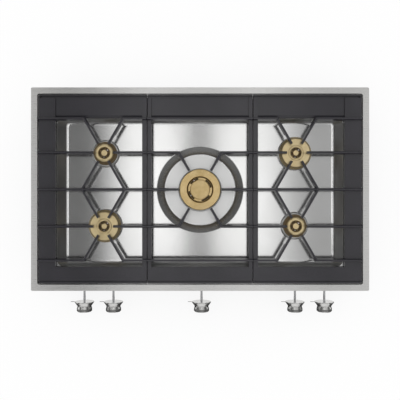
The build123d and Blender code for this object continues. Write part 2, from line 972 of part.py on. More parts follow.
def large_crown(centre):
    """Large crown: a flat brass disc with a flared skirt and a bevelled collar round its opening."""
    top = crown_seat + large_crown_height
    roof = top - crown_roof
    spigot = large_channel_outer - seat_clearance
    wall = spigot - spigot_wall
    collar_top = top + large_collar_height
    turned(
        centre,
        (
            (large_opening_radius, crown_seat),
            (large_opening_radius, top),
            (large_opening_radius + large_collar_height, collar_top),
            (large_collar_radius - large_collar_height, collar_top),
            (large_collar_radius, top),
            (large_crown_radius - large_edge_bevel, top),
            (large_crown_radius, top - large_edge_bevel),
            (large_skirt_radius, crown_seat + spigot_depth),
            (large_skirt_radius, crown_seat),
            (spigot, crown_seat),
            (spigot, crown_seat - spigot_depth),
            (wall, crown_seat - spigot_depth),
            (wall, roof),
            (large_channel_inner, roof),
            (large_channel_inner, crown_seat),
        ),
    )
    flame_ports(centre, wall - cut_margin, large_skirt_radius + cut_margin, large_port_count)


with BuildPart() as small_burner_bases:
    for centre in SMALL_BURNERS.values():
        side_base(centre, small_neck_radius, small_screw_circle, small_channel_inner, small_channel_outer)
finish(small_burner_bases.part, "small_burner_bases")

with BuildPart() as large_burner_bases:
    for centre in LARGE_BURNERS.values():
        side_base(centre, large_neck_radius, large_screw_circle, large_channel_inner, large_channel_outer)
finish(large_burner_bases.part, "large_burner_bases")

with BuildPart() as wok_burner_base:
    flange_bottom = dish_underside - base_flange_thickness
    channel_floor = crown_seat - channel_depth
    turned(
        wok_centre,
        (
            (wok_venturi_radius, wok_base_bottom),
            (wok_cup_radius, wok_base_bottom),
            (wok_cup_radius, flange_bottom),
            (wok_neck_radius + base_flange_width, flange_bottom),
            (wok_neck_radius + base_flange_width, dish_underside),
            (wok_neck_radius, dish_underside),
            (wok_neck_radius, crown_seat),
            (wok_channel_outer, crown_seat),
            (wok_channel_outer, channel_floor),
            (wok_channel_inner, channel_floor),
            (wok_channel_inner, crown_seat),
            (wok_pocket_radius, crown_seat),
            (wok_pocket_radius, channel_floor),
            (wok_venturi_radius, channel_floor),
        ),
    )
    ways = [wok_gallery_start + 360 / wok_gallery_count * turn for turn in range(wok_gallery_count)]
    gallery_height = channel_floor + gallery_radius + gallery_lift
    start, end = wok_pocket_radius - cut_margin, wok_channel_inner + cut_margin
    galleries(wok_centre, start, end, gallery_height, ways)
    wok_angles = (wok_slot_angles[0], wok_slot_angles[2])
    base_fixings(
        wok_centre, wok_screw_circle, wok_electrode_circle, wok_angles, dish_underside, wok_base_bottom
    )
finish(wok_burner_base.part, "wok_burner_base")

with BuildPart() as small_trim_rings:
    for centre in SMALL_BURNERS.values():
        trim_ring(centre, small_neck_radius, small_ring_radius, floor_height)
finish(small_trim_rings.part, "small_trim_rings")

with BuildPart() as large_trim_rings:
    for centre in LARGE_BURNERS.values():
        trim_ring(centre, large_neck_radius, large_ring_radius, floor_height)
finish(large_trim_rings.part, "large_trim_rings")

with BuildPart() as wok_trim_ring:
    trim_ring(wok_centre, wok_neck_radius, wok_ring_radius, dish_floor)
finish(wok_trim_ring.part, "wok_trim_ring")

for name, centre in SMALL_BURNERS.items():
    with BuildPart() as crown:
        small_crown(centre)
    finish(crown.part, f"crown_{name}")
    with BuildPart() as centre_piece:
        spreader(centre, small_opening_radius, small_knob_radius)
    finish(centre_piece.part, f"spreader_{name}")

for name, centre in LARGE_BURNERS.items():
    with BuildPart() as crown:
        large_crown(centre)
    finish(crown.part, f"crown_{name}")
    with BuildPart() as centre_piece:
        spreader(centre, large_opening_radius, large_knob_radius)
    finish(centre_piece.part, f"spreader_{name}")

with BuildPart() as wok_outer_crown:
    top = crown_seat + wok_crown_height
    roof = top - crown_roof
    spigot = wok_channel_outer - seat_clearance
    wall = spigot - spigot_wall
    turned(
        wok_centre,
        (
            (wok_bore_radius, crown_seat),
            (wok_bore_radius, top - wok_bore_bevel),
            (wok_bore_radius + wok_bore_bevel, top),
            (wok_crown_radius - wok_edge_bevel, top),
            (wok_crown_radius, top - wok_edge_bevel),
            (wok_crown_radius, crown_seat),
            (spigot, crown_seat),
            (spigot, crown_seat - spigot_depth),
            (wall, crown_seat - spigot_depth),
            (wall, roof),
            (wok_channel_inner, roof),
            (wok_channel_inner, crown_seat),
        ),
    )
    flame_ports(wok_centre, wall - cut_margin, wok_crown_radius + cut_margin, wok_port_count)
finish(wok_outer_crown.part, "wok_outer_crown")

wok_inner_top = crown_seat + wok_inner_height

with BuildPart() as wok_inner_crown:
    spigot = wok_pocket_radius - seat_clearance
    wall = spigot - spigot_wall
    cap_floor = wok_inner_top - spigot_depth
    cap_pocket = wok_cap_spigot + seat_clearance
    turned(
        wok_centre,
        (
            (0, cap_floor - spigot_depth),
            (wall, cap_floor - spigot_depth),
            (wall, crown_seat - spigot_depth),
            (spigot, crown_seat - spigot_depth),
            (spigot, crown_seat),
            (wok_inner_radius, crown_seat),
            (wok_inner_radius, wok_inner_top - spigot_depth),
            (wok_inner_rim, wok_inner_top),
            (cap_pocket, wok_inner_top),
            (cap_pocket, cap_floor),
            (0, cap_floor),
        ),
    )
    with BuildSketch(Plane.XY.offset(crown_seat)) as slots:
        for angle in wok_slot_angles:
            with BuildLine():
                CenterArc(wok_centre, wok_electrode_circle, angle - wok_slot_sweep / 2, wok_slot_sweep)
                offset(amount=wok_slot_width / 2, kind=Kind.ARC)
            make_face()
    extrude(slots.sketch, amount=wok_inner_height, mode=Mode.SUBTRACT)
finish(wok_inner_crown.part, "wok_inner_crown")

with BuildPart() as wok_cap:
    cap_top = wok_inner_top + wok_cap_height
    turned(
        wok_centre,
        (
            (0, cap_floor),
            (wok_cap_spigot, cap_floor),
            (wok_cap_spigot, wok_inner_top),
            (wok_cap_radius, wok_inner_top),
            (wok_cap_radius, cap_top - wok_cap_bevel),
            (wok_cap_radius - wok_cap_bevel, cap_top),
            (0, cap_top),
        ),
    )
finish(wok_cap.part, "wok_cap")

BURNER_ORDER = ("rear_left", "front_left", "middle", "front_right", "rear_right")
BURNER_CENTRES = {**SMALL_BURNERS, **LARGE_BURNERS, "middle": wok_centre}


def electrode_spot(name, angle, wok_angle):
    """Where an electrode stands in a burner, and the height of its lower end."""
    if name == "middle":
        return around(wok_centre, wok_electrode_circle, wok_angle), wok_base_bottom
    return around(BURNER_CENTRES[name], electrode_circle, angle), base_bottom


igniter_spots = [electrode_spot(name, igniter_angle, wok_angles[0]) for name in BURNER_ORDER]
thermocouple_spots = [electrode_spot(name, thermocouple_angle, wok_angles[1]) for name in BURNER_ORDER]

with BuildPart() as igniters:
    for spot, bottom in igniter_spots:
        post(spot, electrode_radius, bottom, electrode_top)
        post(spot, electrode_tip_radius, electrode_top, electrode_top + electrode_tip_length)
finish(igniters.part, "igniters")

with BuildPart() as thermocouples:
    for spot, bottom in thermocouple_spots:
        post(spot, thermocouple_radius, bottom, thermocouple_top)
finish(thermocouples.part, "thermocouples")

with BuildPart() as burner_screws:
    fixings = [(centre, small_screw_circle, floor_height) for centre in SMALL_BURNERS.values()]
    fixings += [(centre, large_screw_circle, floor_height) for centre in LARGE_BURNERS.values()]
    fixings.append((wok_centre, wok_screw_circle, dish_floor))
    for centre, circle, floor in fixings:
        for angle in screw_angles:
            spot = around(centre, circle, angle)
            head_top = floor - sheet - base_flange_thickness
            post(spot, burner_screw_radius, head_top, floor - screw_clearance)
            post(spot, screw_head_radius, head_top - screw_head_height, head_top)
finish(burner_screws.part, "burner_screws")

# ---------------------------------------------------------------- gas train

FEED_SIDES = dict(zip(BURNER_ORDER, ((-1, 0), (0, -1), (0, -1), (0, -1), (1, 0))))
KNOBS = dict(zip(BURNER_ORDER, knob_positions))


def feed_height(name):
    """Height of a burner's injector inlet and of the pipe that ends there."""
    return wok_pipe_height if name == "middle" else pipe_height


def feed_end(name):
    """Where a burner's pipe meets its injector."""
    centre, side = BURNER_CENTRES[name], FEED_SIDES[name]
    return (centre[0] + side[0] * boss_reach, centre[1] + side[1] * boss_reach, feed_height(name))


with BuildPart() as injectors:
    for name, centre in BURNER_CENTRES.items():
        middle = feed_height(name)
        top = middle + injector_height / 2
        post(centre, injector_radius, top - injector_height, top)
        post(centre, jet_radius, top, top + jet_height)
        side = FEED_SIDES[name]
        with Locations(Plane(origin=(centre[0], centre[1], middle), z_dir=(side[0], side[1], 0))):
            Cylinder(boss_radius, boss_reach, align=(Align.CENTER, Align.CENTER, Align.MIN))
finish(injectors.part, "injectors")

with BuildPart() as gas_taps:
    for x in KNOBS.values():
        block(
            (x - tap_width / 2, tap_front, manifold_top),
            (x + tap_width / 2, tap_back, knob_axis_height + tap_above_axis),
        )
    fillet(edges().filter_by(Axis.Y), tap_round)
    for x in KNOBS.values():
        bore_along_y(x, knob_axis_height, tap_neck_radius, tap_front, neck_front, Mode.ADD)
        bore_along_y(x, pipe_height, boss_radius, tap_back + outlet_length, tap_back, Mode.ADD)
        bore_along_y(x, knob_axis_height, collar_bore_radius, spring_back, neck_front)
        hole_end = spindle_end + push_travel + spring_slack
        bore_along_y(x, knob_axis_height, spindle_radius + running_clearance, hole_end, spring_back)
finish(gas_taps.part, "gas_taps")

with BuildPart() as gas_manifold:
    left = knob_positions[0] - tap_width
    right = feed_x + manifold_size / 2
    front, back = manifold_y - manifold_size / 2, manifold_y + manifold_size / 2
    bottom = manifold_top - manifold_size
    block((left, front, bottom), (right, back, manifold_top))
    inlet_start = rear_wall - inlet_inner_length - inlet_hex_thickness
    bore_along_y(feed_x, manifold_height, feed_radius, inlet_start, back, Mode.ADD)
    block(
        (left + manifold_wall, front + manifold_wall, bottom + manifold_wall),
        (right - manifold_wall, back - manifold_wall, manifold_top - manifold_wall),
        Mode.SUBTRACT,
    )
    bore_along_y(feed_x, manifold_height, feed_radius - manifold_wall, inlet_start, back - manifold_wall)
finish(gas_manifold.part, "gas_manifold")

with BuildPart() as gas_inlet:
    hex_back = inlet_start + inlet_hex_thickness
    with BuildSketch(Plane.XZ.offset(-hex_back)) as hexagon:
        with Locations((feed_x, manifold_height)):
            RegularPolygon(inlet_hex / 2, 6, major_radius=False)
    extrude(hexagon.sketch, amount=inlet_hex_thickness)
    thread_start = rear_wall + inlet_thread_setback
    thread_end = thread_start + inlet_thread_length
    shank_radius = inlet_thread_radius - inlet_relief
    bore_along_y(feed_x, manifold_height, shank_radius, thread_start, hex_back, Mode.ADD)
    bore_along_y(feed_x, manifold_height, inlet_thread_radius, thread_end, thread_start, Mode.ADD)
    bore_along_y(feed_x, manifold_height, inlet_bore_radius, thread_end, inlet_start)
finish(gas_inlet.part, "gas_inlet")


def pipe_route(name):
    """Corner points of one burner's gas pipe, from its tap to its injector."""
    x, end = KNOBS[name], feed_end(name)
    start = (x, tap_back + outlet_length, pipe_height)
    if FEED_SIDES[name][0]:
        return [start, (x, end[1], pipe_height), end]
    third = (end[1] - start[1]) / 3
    return [start, (x, start[1] + third, pipe_height), (end[0], end[1] - third, end[2]), end]


with BuildPart() as gas_pipes:
    for name in FEED_SIDES:
        tube(pipe_route(name), pipe_radius, pipe_bend, pipe_radius - pipe_wall)
finish(gas_pipes.part, "gas_pipes")

with BuildPart() as tap_rail:
    left = knob_positions[0] - rail_end_margin
    right = knob_positions[-1] + rail_end_margin
    block((left, tap_front - rail_thickness, housing_floor), (right, tap_front, rail_top))
    block(
        (left, tap_front, housing_floor),
        (right, tap_front + rail_foot, housing_floor + rail_thickness),
    )
    for x in KNOBS.values():
        bore_along_y(x, knob_axis_height, panel_hole_radius, tap_front, tap_front - rail_thickness)
finish(tap_rail.part, "tap_rail")

# ---------------------------------------------------------------- knobs, spindles, guides

for name, x in KNOBS.items():
    with BuildPart() as knob:
        waist_back = knob_back - knob_flange_thickness - knob_cone_length
        waist_front = waist_back - knob_waist_length
        lathed(
            x,
            (
                (spindle_radius, knob_back),
                (knob_flange_radius, knob_back),
                (knob_flange_radius, knob_back - knob_flange_thickness),
                (knob_waist_radius, waist_back),
                (knob_waist_radius, waist_front),
                (knob_barrel_radius, waist_front - knob_shoulder_length),
                (knob_barrel_radius, knob_front + knob_face_bevel),
                (knob_barrel_radius - knob_face_bevel, knob_front),
                (0, knob_front),
                (0, knob_back - knob_bore_depth),
                (spindle_radius, knob_back - knob_bore_depth),
            ),
        )
        block(
            (x - pointer_reach, knob_back - pointer_thickness, knob_axis_height - pointer_height / 2),
            (x - knob_waist_radius, knob_back, knob_axis_height + pointer_height / 2),
        )
    finish(knob.part, f"knob_{name}")
    with BuildPart() as spindle:
        lathed(
            x,
            (
                (0, spindle_end),
                (spindle_radius, spindle_end),
                (spindle_radius, collar_back - collar_thickness),
                (shoulder_radius, collar_back - collar_thickness),
                (shoulder_radius, shoulder_front),
                (spindle_radius, shoulder_front),
                (spindle_radius, knob_back - knob_bore_depth),
                (0, knob_back - knob_bore_depth),
            ),
        )
    finish(spindle.part, f"spindle_{name}")
    with BuildPart() as push_collar:
        inner = spindle_radius + running_clearance
        outer = collar_bore_radius - running_clearance
        front = collar_back - collar_thickness
        lathed(x, ((inner, front), (outer, front), (outer, collar_back), (inner, collar_back)))
    finish(push_collar.part, f"push_collar_{name}")

with BuildPart() as return_springs:
    outer = collar_bore_radius - seat_clearance
    inner = outer - spring_wall
    for x in KNOBS.values():
        ends = ((inner, spring_front), (outer, spring_front), (outer, spring_back), (inner, spring_back))
        lathed(x, ends)
finish(return_springs.part, "return_springs")

with BuildPart() as spindle_guides:
    cap_front = neck_front - guide_cap_thickness
    hole = spindle_radius + running_clearance
    for x in KNOBS.values():
        lathed(
            x,
            (
                (hole, neck_front),
                (tap_neck_radius, neck_front),
                (tap_neck_radius, cap_front),
                (hole + guide_wall, cap_front),
                (hole + guide_wall, cap_front - guide_length),
                (hole, cap_front - guide_length),
            ),
        )
finish(spindle_guides.part, "spindle_guides")

# ---------------------------------------------------------------- electrical pieces and fixings

with BuildPart() as ignition_module:
    size = (module_width, module_depth)
    slab((module_x, module_y), size, module_corner, housing_floor, module_height)
finish(ignition_module.part, "ignition_module")

with BuildPart() as ignition_leads:
    front = module_y - module_depth / 2
    pitch = module_width / (len(igniter_spots) + 1)
    middle = len(igniter_spots) // 2
    for number, (spot, bottom) in enumerate(igniter_spots):
        x = module_x - module_width / 2 + pitch * (number + 1)
        turn_y = front - lead_pitch * (1 + middle - abs(number - middle))
        lane = spot[0]
        if spot[1] < cook_centre_y:
            lane -= lead_lane if number > middle else -lead_lane
        corners = [(x, front), (x, turn_y), (lane, turn_y), (lane, spot[1])]
        if lane != spot[0]:
            corners.append(spot)
        level = [(*corner, lead_height) for corner in corners]
        tube([*level, (*spot, bottom)], lead_radius, lead_bend)
finish(ignition_leads.part, "ignition_leads")

with BuildPart() as cable_gland:
    inside = rear_wall - gland_length
    bore_along_y(gland_x, gland_height, gland_radius, rear_wall + gland_flange, rear_wall, Mode.ADD)
    bore_along_y(gland_x, gland_height, gland_neck_radius, rear_wall, inside, Mode.ADD)
    bore_along_y(gland_x, gland_height, gland_bore_radius, rear_wall + gland_flange, inside)
finish(cable_gland.part, "cable_gland")

clamp_spots = [(side, y) for side in (-1, 1) for y in (-clamp_y, clamp_y)]

with BuildPart() as worktop_clamps:
    for side, y in clamp_spots:
        wall_x = side * housing_width / 2
        plate_x = sorted((wall_x, wall_x + side * clamp_thickness))
        arm_x = sorted((wall_x, wall_x + side * clamp_reach))
        half = clamp_width / 2
        block((plate_x[0], y - half, clamp_top - clamp_height), (plate_x[1], y + half, clamp_top))
        block((arm_x[0], y - half, clamp_top - clamp_thickness), (arm_x[1], y + half, clamp_top))
        spot = (wall_x + side * clamp_screw_reach, y)
        radius = clamp_screw_radius + screw_clearance
        post(spot, radius, clamp_top - clamp_thickness, clamp_top, mode=Mode.SUBTRACT)
finish(worktop_clamps.part, "worktop_clamps")

with BuildPart() as clamp_screws:
    for side, y in clamp_spots:
        spot = (side * (housing_width / 2 + clamp_screw_reach), y)
        bottom = clamp_screw_top - clamp_screw_length
        post(spot, clamp_screw_radius, bottom, clamp_screw_top)
        post(spot, screw_head_radius, bottom - screw_head_height, bottom)
finish(clamp_screws.part, "clamp_screws")
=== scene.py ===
"""Looks of the gas cooktop: a procedural finish for every CAD node, the studio and the camera."""
import json

import bpy
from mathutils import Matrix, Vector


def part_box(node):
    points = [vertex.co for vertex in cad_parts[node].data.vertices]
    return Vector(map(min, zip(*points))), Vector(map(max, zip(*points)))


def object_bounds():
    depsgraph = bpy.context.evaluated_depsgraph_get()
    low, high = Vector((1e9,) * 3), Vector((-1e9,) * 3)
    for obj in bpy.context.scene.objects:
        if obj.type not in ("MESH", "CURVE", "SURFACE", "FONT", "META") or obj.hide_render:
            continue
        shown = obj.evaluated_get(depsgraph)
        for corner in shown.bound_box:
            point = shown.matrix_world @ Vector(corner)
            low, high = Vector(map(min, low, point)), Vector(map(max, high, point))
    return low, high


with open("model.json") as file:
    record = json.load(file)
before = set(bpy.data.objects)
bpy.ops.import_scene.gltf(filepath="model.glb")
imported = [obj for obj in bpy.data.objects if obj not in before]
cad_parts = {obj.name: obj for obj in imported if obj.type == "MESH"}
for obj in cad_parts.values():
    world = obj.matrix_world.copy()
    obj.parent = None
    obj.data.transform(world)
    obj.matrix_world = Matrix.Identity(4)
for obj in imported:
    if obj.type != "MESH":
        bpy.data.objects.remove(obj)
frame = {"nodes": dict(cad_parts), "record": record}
cad_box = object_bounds()
nodes = frame["nodes"]
subparts = frame["record"]["subparts"]

MM = 0.001
BURNERS = ("rear_left", "front_left", "middle", "front_right", "rear_right")
SIDE_BURNERS = ("rear_left", "front_left", "front_right", "rear_right")
SMALL_BURNERS = ("rear_left", "front_right")


def node_centre(name):
    """Middle of a CAD node's box."""
    low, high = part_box(name)
    return tuple((low + high) / 2)


# ---------------------------------------------------------------- material building blocks

# lines of the brushing: how wide they are, how much longer than wide, how deep
BRUSH_PITCH = 0.6 * MM
BRUSH_STRETCH = 0.02
BRUSH_DEPTH = 0.012 * MM
TURNING_DEPTH = 0.03 * MM
CLOUD_SCALE = 9.0
BEVEL_SAMPLES = 6


class Finish:
    """A principled material in object space, with its nodes added call by call."""

    def __init__(self, name, colour, metallic, roughness, **sockets):
        self.material = bpy.data.materials.new(name)
        self.material.use_nodes = True
        self.tree = self.material.node_tree
        self.shader = self.tree.nodes["Principled BSDF"]
        self.shader.inputs["Base Color"].default_value = (*colour, 1)
        self.shader.inputs["Metallic"].default_value = metallic
        self.shader.inputs["Roughness"].default_value = roughness
        for socket, value in sockets.items():
            self.shader.inputs[socket.replace("_", " ")].default_value = value
        self.place = self.add("ShaderNodeTexCoord").outputs["Object"]

    def add(self, kind, settings=(), **values):
        """Add a node; values are numbers for its sockets or outputs to link to them."""
        node = self.tree.nodes.new(kind)
        for key, value in dict(settings).items():
            setattr(node, key, value)
        for socket, value in values.items():
            self.feed(node.inputs[socket.replace("_", " ")], value)
        return node

    def feed(self, socket, value):
        """Link an output to a socket, or set the socket's number."""
        if isinstance(value, bpy.types.NodeSocket):
            self.tree.links.new(value, socket)
        else:
            socket.default_value = value

    def math(self, operation, *values):
        """Result of a Math node."""
        node = self.add("ShaderNodeMath", {"operation": operation})
        for socket, value in zip(node.inputs, values):
            self.feed(socket, value)
        return node.outputs[0]

    def part(self, vector, axis):
        """One coordinate of a vector."""
        return self.add("ShaderNodeSeparateXYZ", Vector=vector).outputs[axis]

    def upward(self):
        """How far the surface faces up, from -1 to 1."""
        return self.part(self.add("ShaderNodeNewGeometry").outputs["Normal"], "Z")

    def stretched(self, scale, centre=(0, 0, 0)):
        """Object coordinates, moved to a centre and scaled along each axis."""
        shifted = self.add("ShaderNodeVectorMath", {"operation": "SUBTRACT"})
        self.feed(shifted.inputs[0], self.place)
        self.feed(shifted.inputs[1], centre)
        scaled = self.add("ShaderNodeVectorMath", {"operation": "MULTIPLY"})
        self.feed(scaled.inputs[0], shifted.outputs[0])
        self.feed(scaled.inputs[1], scale)
        return scaled.outputs[0]

    def noise(self, vector, scale, detail, rough):
        """A soft noise value from 0 to 1."""
        node = self.add(
            "ShaderNodeTexNoise", Vector=vector, Scale=scale, Detail=detail, Roughness=rough
        )
        return node.outputs["Fac"]

    def brushing(self):
        """Long fine lines from left to right, as a value from 0 to 1."""
        across = 1 / BRUSH_PITCH
        scale = (across * BRUSH_STRETCH, across, across)
        return self.noise(self.stretched(scale), 1.0, 4.0, 0.6)

    def clouds(self):
        """Slow, broad changes of tone, as a value from 0 to 1."""
        return self.noise(self.place, CLOUD_SCALE, 2.0, 0.5)

    def radius(self, centre, plane="XY"):
        """Distance from an axis through a centre: upright for XY, front to back for XZ."""
        flat = (1, 1, 0) if plane == "XY" else (1, 0, 1)
        node = self.add("ShaderNodeVectorMath", {"operation": "LENGTH"})
        self.feed(node.inputs[0], self.stretched(flat, centre))
        return node.outputs["Value"]

    def rings(self, centre, pitch, plane="XY"):
        """Fine uneven turning marks round an axis, as a value from 0 to 1."""
        node = self.add(
            "ShaderNodeTexNoise", {"noise_dimensions": "1D"}, Scale=1 / pitch, Detail=2.0
        )
        self.feed(node.inputs["W"], self.radius(centre, plane))
        return node.outputs["Fac"]

    def spread(self, value, low, high, start=0.3, end=0.7):
        """Map a range of a value to another, by default the middle of a noise."""
        node = self.add("ShaderNodeMapRange", Value=value)
        sockets = ("From Min", "From Max", "To Min", "To Max")
        for socket, number in zip(sockets, (start, end, low, high)):
            node.inputs[socket].default_value = number
        return node.outputs["Result"]

    def blend(self, share, first, second):
        """Mix two colours by a share."""
        node = self.add("ShaderNodeMix", {"data_type": "RGBA"})
        self.feed(node.inputs[0], share)
        for socket, colour in ((node.inputs[6], first), (node.inputs[7], second)):
            self.feed(socket, (*colour, 1) if isinstance(colour, tuple) else colour)
        return node.outputs[2]

    def colour(self, value):
        """Link the base colour."""
        self.feed(self.shader.inputs["Base Color"], value)

    def rough(self, value):
        """Link the roughness."""
        self.feed(self.shader.inputs["Roughness"], value)

    def bump(self, height, distance, strength, edge=0.0):
        """Add relief, and rounded edges of a radius where one is given."""
        node = self.add("ShaderNodeBump", Height=height, Distance=distance, Strength=strength)
        if edge:
            rounded = self.add("ShaderNodeBevel", {"samples": BEVEL_SAMPLES}, Radius=edge)
            self.feed(node.inputs["Normal"], rounded.outputs["Normal"])
        self.feed(self.shader.inputs["Normal"], node.outputs["Normal"])

    def turned(self, axis):
        """Let the sheen follow turning marks round an axis through the piece."""
        tangent = self.add("ShaderNodeTangent", {"direction_type": "RADIAL", "axis": axis})
        self.feed(self.shader.inputs["Tangent"], tangent.outputs[0])


# ---------------------------------------------------------------- finishes

FRAME_STEEL = (0.80, 0.795, 0.78)
FRAME_STEEL_DARK = (0.70, 0.695, 0.68)
FRAME_ROUGHNESS = 0.3
FRAME_EDGE = 0.5 * MM

TRAY_STEEL = (0.82, 0.82, 0.815)
TRAY_STEEL_DARK = (0.76, 0.76, 0.75)
TRAY_ROUGHNESS = (0.14, 0.19)
# colour of the steep walls: painted shade, darker than the tray's own steel
WALL_PAINTED_SHADE = (0.42, 0.42, 0.415)
WALL_ROUGHNESS = 0.36
WALL_FACING = (0.80, 0.97)
DISH_CENTRE = (0, -1 * MM, 0)
DISH_FLOOR_EDGE = 95 * MM
DISH_WALL_EDGE = 99 * MM
DISH_ROUGHNESS = 0.36

KNOB_STEEL = (0.70, 0.695, 0.68)
KNOB_STEEL_DARK = (0.60, 0.595, 0.585)
# a darker, duller band on each knob between two depths
DARK_BAND_STEEL = (0.30, 0.30, 0.295)
KNOB_ROUGHNESS = 0.24
DARK_BAND_ROUGHNESS = 0.42
DARK_BAND_FRONT = -337.7 * MM
DARK_BAND_BACK = -331.9 * MM
DARK_BAND_FADE = 0.3 * MM

BRASS = (0.78, 0.60, 0.32)
BRASS_DARK = (0.62, 0.45, 0.205)
CREAM_BRASS = (0.90, 0.75, 0.45)
CREAM_BRASS_DARK = (0.78, 0.62, 0.35)
# colours of the crown sides: painted shade, deeper for the large burners and the wok
SIDE_SHADE_BRASS = (0.42, 0.29, 0.13)
DEEP_SIDE_SHADE_BRASS = (0.13, 0.085, 0.045)
WOK_SIDE_SHADE = (0.06, 0.05, 0.04)
# painted shade: dark brown deep in the hollow of a side burner
HOLLOW_SHADE = (0.08, 0.035, 0.018)
# heights between which the painted shade in the hollow of a side burner fades out
HOLLOW_SHADE_FROM = -13.5 * MM
HOLLOW_SHADE_TO = -11 * MM

ENAMEL = (0.012, 0.011, 0.016)
ENAMEL_LIGHT = (0.018, 0.016, 0.023)
ENAMEL_ROUGHNESS = 0.3
ENAMEL_GRAIN = 1.1 * MM

ZINC = (0.6, 0.61, 0.62)
ZINC_DARK = (0.5, 0.51, 0.53)
ZINC_LIGHT = (0.66, 0.67, 0.68)

# slot of the record: colour, darker colour, roughness
PLAIN_METALS = {
    "screw_steel": ((0.62, 0.62, 0.63), (0.48, 0.48, 0.5), 0.3),
    "manifold_steel": ((0.5, 0.5, 0.52), (0.4, 0.4, 0.42), 0.42),
    "pipe_aluminium": ((0.80, 0.80, 0.81), (0.68, 0.68, 0.70), 0.3),
    "probe_steel": ((0.62, 0.56, 0.52), (0.45, 0.38, 0.34), 0.3),
    "fitting_brass": ((0.78, 0.6, 0.34), (0.62, 0.45, 0.22), 0.3),
    "base_casting": ((0.26, 0.20, 0.12), (0.16, 0.12, 0.07), 0.5),
    "spindle_steel": ((0.66, 0.66, 0.67), (0.55, 0.55, 0.56), 0.25),
}
TRIM_STEEL = (0.86, 0.86, 0.85)
TRIM_STEEL_DARK = (0.78, 0.78, 0.77)
TRIM_ROUGHNESS = 0.32

# slots of the record: material name, colour, lighter colour, roughness
MOULDED = {
    ("foot_rubber", "seal_rubber"): ("foot_rubber", (0.02, 0.02, 0.02), (0.035, 0.035, 0.035), 0.75),
    ("ceramic",): ("igniter_ceramic", (0.80, 0.69, 0.66), (0.88, 0.79, 0.76), 0.2),
    ("module_plastic",): ("module_plastic", (0.03, 0.03, 0.032), (0.045, 0.045, 0.05), 0.45),
    ("lead_rubber",): ("lead_silicone", (0.42, 0.045, 0.03), (0.5, 0.07, 0.05), 0.5),
}


def frame_steel():
    """The satin rim: long brushing under slow clouds."""
    finish = Finish("frame_steel", FRAME_STEEL, 1.0, FRAME_ROUGHNESS)
    lines = finish.brushing()
    cloud = finish.spread(finish.clouds(), 0.0, 0.3)
    shade = finish.math("MULTIPLY_ADD", lines, 0.7, cloud)
    finish.colour(finish.blend(shade, FRAME_STEEL_DARK, FRAME_STEEL))
    finish.rough(finish.spread(lines, FRAME_ROUGHNESS * 0.85, FRAME_ROUGHNESS * 1.2))
    finish.bump(lines, BRUSH_DEPTH, 0.6, FRAME_EDGE)
    return finish.material


def tray_steel():
    """The pressed tray: brushed, satin on the dish floor, duller on steep walls, which are darkened
    with painted shade.
    """
    finish = Finish("tray_steel", TRAY_STEEL, 1.0, TRAY_ROUGHNESS[0])
    lines = finish.brushing()
    steep = finish.spread(finish.upward(), 1.0, 0.0, *WALL_FACING)
    sheet = finish.blend(finish.spread(finish.clouds(), 0.0, 1.0), TRAY_STEEL_DARK, TRAY_STEEL)
    # painted shade: steep walls take a darker colour than the rest of the tray
    finish.colour(finish.blend(steep, sheet, WALL_PAINTED_SHADE))
    reach = finish.radius(DISH_CENTRE)
    satin = finish.spread(reach, DISH_ROUGHNESS, 0.0, DISH_FLOOR_EDGE, DISH_WALL_EDGE)
    dull = finish.spread(steep, 0.0, WALL_ROUGHNESS, 0.0, 1.0)
    grain = finish.spread(lines, *TRAY_ROUGHNESS)
    finish.rough(finish.math("MAXIMUM", finish.math("MAXIMUM", satin, dull), grain))
    finish.bump(lines, BRUSH_DEPTH, 0.6)
    return finish.material


def turned_brass(name, colour, dark, roughness, centre, skirt=None, hollow_shade=None):
    """Brass turned on a lathe: rings round an upright axis, with sides or a hollow darkened by
    painted shade.
    """
    finish = Finish(name, colour, 1.0, roughness, Anisotropic=0.7, Anisotropic_Rotation=0.25)
    marks = finish.rings(centre, 0.7 * MM)
    tarnish = finish.noise(finish.stretched((1, 1, 1), centre), 55.0, 4.0, 0.6)
    base = finish.blend(finish.spread(tarnish, 0.0, 1.0), dark, colour)
    base = finish.blend(finish.spread(marks, 0.0, 0.25), base, dark)
    # painted shade: sides that face away from up take the darker colour
    if skirt:
        base = finish.blend(finish.spread(finish.upward(), 0.85, 0.0, 0.2, 0.6), base, skirt)
    if hollow_shade:
        # painted shade darkens the hollow below a height
        height = finish.part(finish.place, "Z")
        base = finish.blend(finish.spread(height, 0.9, 0.0, HOLLOW_SHADE_FROM, HOLLOW_SHADE_TO), base, hollow_shade)
    finish.colour(base)
    finish.rough(finish.spread(marks, roughness * 0.8, roughness * 1.25))
    finish.bump(marks, TURNING_DEPTH, 0.7, 0.3 * MM)
    finish.turned("Z")
    return finish.material


def knob_steel(name, centre):
    """Turned steel knob with a darker, duller band along part of its length."""
    finish = Finish(f"knob_steel_{name}", KNOB_STEEL, 1.0, KNOB_ROUGHNESS, Anisotropic=0.3)
    marks = finish.rings(centre, 0.5 * MM, "XZ")
    depth = finish.part(finish.place, "Y")
    before_back = finish.spread(depth, 1.0, 0.0, DARK_BAND_BACK - DARK_BAND_FADE, DARK_BAND_BACK)
    behind_front = finish.spread(depth, 0.0, 1.0, DARK_BAND_FRONT, DARK_BAND_FRONT + DARK_BAND_FADE)
    dark_band = finish.math("MULTIPLY", before_back, behind_front)
    shade = finish.blend(finish.spread(marks, 0.0, 0.25), KNOB_STEEL, KNOB_STEEL_DARK)
    finish.colour(finish.blend(dark_band, shade, DARK_BAND_STEEL))
    finish.rough(finish.spread(dark_band, KNOB_ROUGHNESS, DARK_BAND_ROUGHNESS, 0.0, 1.0))
    finish.bump(marks, TURNING_DEPTH, 0.7, 0.4 * MM)
    finish.turned("Y")
    return finish.material


